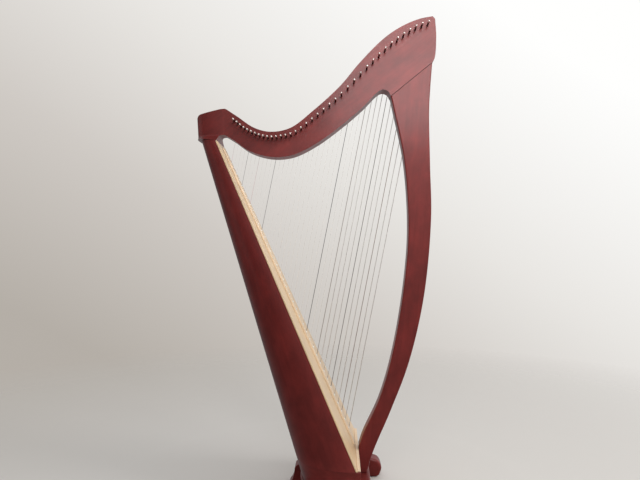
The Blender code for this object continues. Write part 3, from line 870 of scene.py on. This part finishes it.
# ------ tuning pins
def pin_ring(y, reach, squareness):
    """A ring round Y: a circle at squareness 0, a square with crisp corners at 1."""
    sides = 32
    ring = []
    for side in range(sides):
        turn = 2 * math.pi * (side + 0.5) / sides
        square = min(1 / max(abs(math.cos(turn)), abs(math.sin(turn))), 1.36)
        size = reach * blend(1.0, square, squareness) * MM
        ring.append(Vector((size * math.cos(turn), y * MM, size * math.sin(turn))))
    return ring


def pin_mesh():
    """A tapered pin: squared for the key at -Y, round through the neck, domed at +Y."""
    half = PIN_SQUARE / 2
    rings = [pin_ring(PIN_KEY_END, half * 0.55, 1.0), pin_ring(PIN_KEY_END + 0.5, half * 0.88, 1.0),
             pin_ring(PIN_KEY_END + 1.3, half, 1.0), pin_ring(PIN_SHADE_FROM, half * 1.02, 1.0),
             pin_ring(PIN_SHANK_START - 3.5, half * 1.04, 1.0),
             pin_ring(PIN_SHANK_START - 2.0, half * 1.12, 0.7),
             pin_ring(PIN_SHANK_START - 0.6, PIN_RADIUS * 0.98, 0.1),
             pin_ring(PIN_SHANK_START, PIN_RADIUS, 0.0),
             pin_ring(0.0, blend(PIN_RADIUS, PIN_FAR_RADIUS, 0.5), 0.0),
             pin_ring(PIN_STRING_END - 1.6, PIN_FAR_RADIUS, 0.0),
             pin_ring(PIN_STRING_END - 0.5, PIN_FAR_RADIUS * 0.86, 0.0),
             pin_ring(PIN_STRING_END, PIN_FAR_RADIUS * 0.5, 0.0)]
    shape = bmesh.new()
    add_loft(shape, rings)
    outward(shape)
    mesh = mesh_from(shape, "tuning_pin")
    smooth_faces(mesh, 35.0)
    mesh.materials.append(pin_steel)
    mesh.materials.append(pin_painted_shade_steel)
    # The shank past PIN_SHADE_FROM gets the dark steel, as painted shade and painted reflection.
    for face in mesh.polygons:
        if face.center.y > PIN_SHADE_FROM * MM:
            face.material_index = 1
    return mesh


def coil_path(number):
    """Turns of string round its pin, starting beside the end of the string."""
    left = string_course(number)[2]
    radius, reach = string_radius(number), coil_reach(number)
    axis = PIN_AXES[number - 1]
    thin, thick = COIL_TURNS
    turns = thick if radius >= THICK_STRING else thin
    pitch = 2 * radius + COIL_GAP
    steps = int(turns * 20)
    path = []
    for step in range(steps + 1):
        turn = 2 * math.pi * turns * step / steps
        side = Vector((left.x * math.cos(turn) + left.y * math.sin(turn),
                       left.y * math.cos(turn) - left.x * math.sin(turn)))
        y = STRING_OFFSET - COIL_ASIDE * radius - pitch * turns * step / steps
        path.append(Vector((axis.x + side.x * reach * MM, y * MM, axis.z + side.y * reach * MM)))
    return path


def make_pins():
    mesh = pin_mesh()
    for number in range(1, STRINGS + 1):
        node = f"tuning_pin_{number:02d}"
        body = node + "_body"
        pin = add_object(node + "_steel", mesh)
        pin.location = PIN_AXES[number - 1]
        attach(pin, body)
        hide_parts(node)
        coil = bmesh.new()
        add_tube(coil, coil_path(number), string_radius(number), 8)
        make_piece(f"string_coil_{number:02d}", outward(coil), string_finish(number), body=body)


# ------ strings
def string_finish(number):
    if number in RED_STRINGS:
        return red_string
    if number in BLACK_STRINGS:
        return black_string
    if number == BROWN_STRING:
        return brown_gut
    wire = {DARK_WOUND: dark_wire, COPPER_WOUND: copper_wire}.get(number, wound_wire)
    return by_range(number, clear_nylon, clear_gut, wire)


def by_range(number, treble, middle, bass):
    """One of three values, by the range that a string belongs to."""
    if number >= FIRST_WOUND:
        return bass
    return middle if number >= FIRST_GUT else treble


def string_node(number):
    return by_range(number, "strings_treble", "strings_middle", "strings_bass")


def make_strings():
    """Each string from its knot under the inner rib, through its grommet, to its pin."""
    for number in range(1, STRINGS + 1):
        pin, bend, left = string_course(number)
        radius = string_radius(number)
        end = pin + left * coil_reach(number)
        path = [on_board(number, depth) for depth in (ANCHOR_DEPTH + 2.0, 3.0, -0.8)]
        far = placed(bend.x, STRING_OFFSET, bend.y)
        near = path[-1]
        path += [near.lerp(far, step / 12) for step in range(1, 13)]
        path += [placed(end.x, STRING_OFFSET + COIL_ASIDE * radius, end.y)]
        shape = bmesh.new()
        add_tube(shape, path, radius, 10)
        string = make_piece(f"string_{number:02d}", outward(shape), string_finish(number),
                            stands_for=[string_node(number)])
        string.data.shade_smooth()


def make_knots():
    """The knots under the inner rib, each round a short peg that stops it."""
    knots, pegs = bmesh.new(), bmesh.new()
    half_length = Vector((0, PEG_HALF_LENGTH * MM, 0))
    turns, steps = 2, 24
    for number in range(1, STRINGS + 1):
        radius = string_radius(number)
        reach = (1.9 + radius) * MM
        middle = on_board(number, ANCHOR_DEPTH + 2 * PEG_RADIUS + 1.6 * radius)
        loop = []
        for step in range(steps + 1):
            turn = 2 * math.pi * turns * step / steps
            loop.append(middle + Vector((0.55 * reach * math.cos(turn + 0.6), reach * math.cos(turn),
                                         reach * math.sin(turn) * (0.8 + 0.2 * math.cos(2 * turn)))))
        add_tube(knots, loop, max(radius, 0.5), 8)
        add_tube(pegs, [middle - half_length, middle + half_length], PEG_RADIUS, 12)
    make_piece("string_knots", outward(knots), clear_gut)
    make_piece("knot_pegs", outward(pegs), beech)


def make_bridge_pins():
    """The posts on the far side of the neck that the strings bend round."""
    shape = bmesh.new()
    for number in range(1, STRINGS + 1):
        bend, left = string_course(number)[1:]
        post = blend(*POST_RADIUS, bass_share(number))
        x, z = bend + left * (string_radius(number) + post * POST_GROOVE)
        profile = [(NECK_HALF - 2, 1.0), *POST_PROFILE]
        path = [placed(x, y, z) for y, share in profile]
        add_tube(shape, path, [post * share for y, share in profile], 16)
    make_piece("bridge_pins", outward(shape), bridge_brass)


# ------ kept CAD nodes
def dress_inner_nodes():
    finishes = {"inner_rib": beech, "shell_former_upper": ash, "shell_former_middle": ash,
                "shell_former_lower": ash, "column_dowel": beech, "shoulder_dowel": beech,
                "column_bolt": bolt_steel}
    for node, finish in finishes.items():
        slots = frame["nodes"][node].data.materials
        slots.clear()
        slots.append(finish)


# ------ camera, light and floor
def add_camera():
    camera = add_object("camera", bpy.data.cameras.new("camera"))
    camera.data.sensor_width = CAMERA_SENSOR
    camera.data.lens = CAMERA_LENS
    camera.data.shift_x, camera.data.shift_y = CAMERA_SHIFT
    camera.location = placed(*CAMERA_PLACE)
    camera.rotation_euler = (math.pi / 2, 0.0, 0.0)
    bpy.context.scene.camera = camera


def add_light(name, kind, location, aim, power):
    """A light turned towards the point that it aims at."""
    light = bpy.data.lights.new(name, kind)
    light.energy = power
    made = add_object(name, light)
    made.location = location
    made.rotation_euler = (Vector(aim) - Vector(location)).to_track_quat("-Z", "Y").to_euler()
    return made


def add_area_light(name, location, aim, size, power, glossy=True, diffuse=True):
    made = add_light(name, "AREA", location, aim, power)
    made.data.shape = "RECTANGLE"
    made.data.size, made.data.size_y = size
    made.visible_glossy = glossy
    made.visible_diffuse = diffuse


def add_spot_light(name, location, aim, cone, radius, power):
    made = add_light(name, "SPOT", location, aim, power)
    made.data.spot_size = math.radians(cone)
    made.data.spot_blend = 1.0
    made.data.shadow_soft_size = radius
    made.visible_glossy = False


def add_world():
    """A pale surround that looks even, while shiny surfaces see a darker side in front of the harp."""
    world = bpy.data.worlds.new("studio")
    bpy.context.scene.world = world
    world.use_nodes = True
    tree = world.node_tree
    tree.nodes.clear()
    direction = add_node(tree, "TexCoord").outputs["Generated"]
    x, y, z = add_node(tree, "SeparateXYZ", {0: direction}).outputs

    def tilted(level, across, up):
        """A tone that changes with the direction to the side and upwards."""
        sideways = arithmetic(tree, "ADD", arithmetic(tree, "MULTIPLY", x, across), level)
        return arithmetic(tree, "ADD", arithmetic(tree, "MULTIPLY", z, up), sideways)

    seen = ramp(tree, tilted(0.66, 0.36, 0.52), SURROUND)
    in_front = ramp(tree, tilted(0.17, 0.16, 0.30), ((0.03, 0.03), (1.0, 1.0)))
    behind = ramp(tree, tilted(0.58, 0.34, 0.30), ((0.15, 0.15), (1.0, 1.0)))
    backward = ramp(tree, y, ((0.02, 0.0), (0.35, 1.0)))
    lit = add_node(tree, "Background", {"Color": mix_colours(tree, backward, in_front, behind)})
    shown = add_node(tree, "Background", {"Color": seen})
    camera_ray = add_node(tree, "LightPath").outputs["Is Camera Ray"]
    both = add_node(tree, "MixShader", {0: camera_ray, 1: lit.outputs[0], 2: shown.outputs[0]})
    output = add_node(tree, "OutputWorld")
    tree.links.new(both.outputs[0], output.inputs[0])


def add_floor():
    """A pale round floor that fades out into the surround."""
    shape = bmesh.new()
    bmesh.ops.create_circle(shape, cap_ends=True, segments=96, radius=FLOOR_RADIUS)
    made, tree, shader, place = new_material("floor")
    distance = add_node(tree, "VectorMath", {0: place}, operation="LENGTH").outputs["Value"]
    fade = ramp(tree, arithmetic(tree, "DIVIDE", distance, FLOOR_FADE), ((0.25, 1.0), (0.95, 0.0)))
    feed(tree, shader, {"Alpha": fade, "Base Color": FLOOR_COLOUR, "Roughness": 0.85})
    floor = add_object("floor", mesh_from(shape, "floor"))
    floor.data.materials.append(made)
    floor.location.z = -FLOOR_DROP
    floor.visible_glossy = False


def add_lights():
    """A broad front and side light, two lights seen only as sheen, and a pool on the neck's tip."""
    add_area_light("front", (0.1, -3.0, 2.5), (0.1, 0.0, 0.9), (1.6, 1.6), 22.0, glossy=False)
    add_area_light("side", (2.2, -0.9, 2.4), (0.0, 0.0, 0.8), (1.0, 1.0), 25.0)
    add_area_light("sheen", (0.82, -2.25, 2.65), (0.2, 0.0, 1.3), (1.95, 1.95), 68.0, diffuse=False)
    add_area_light("left_sheen", (-2.6, -0.9, 1.4), (0.0, 0.0, 0.9), (1.6, 2.2), 6.0, diffuse=False)
    add_spot_light("pool", (0.65, -2.4, 2.1), (0.75, 0.0, 1.75), 64.0, 0.35, 180.0)


def build():
    bpy.context.scene.view_settings.view_transform = "Standard"
    add_camera()
    make_neck()
    make_column()
    make_joint_line()
    make_shoulder()
    make_shell()
    make_soundboard()
    make_sill()
    make_grommets()
    make_base()
    make_feet()
    make_pins()
    make_strings()
    make_knots()
    make_bridge_pins()
    dress_inner_nodes()
    add_floor()
    add_world()
    add_lights()


build()
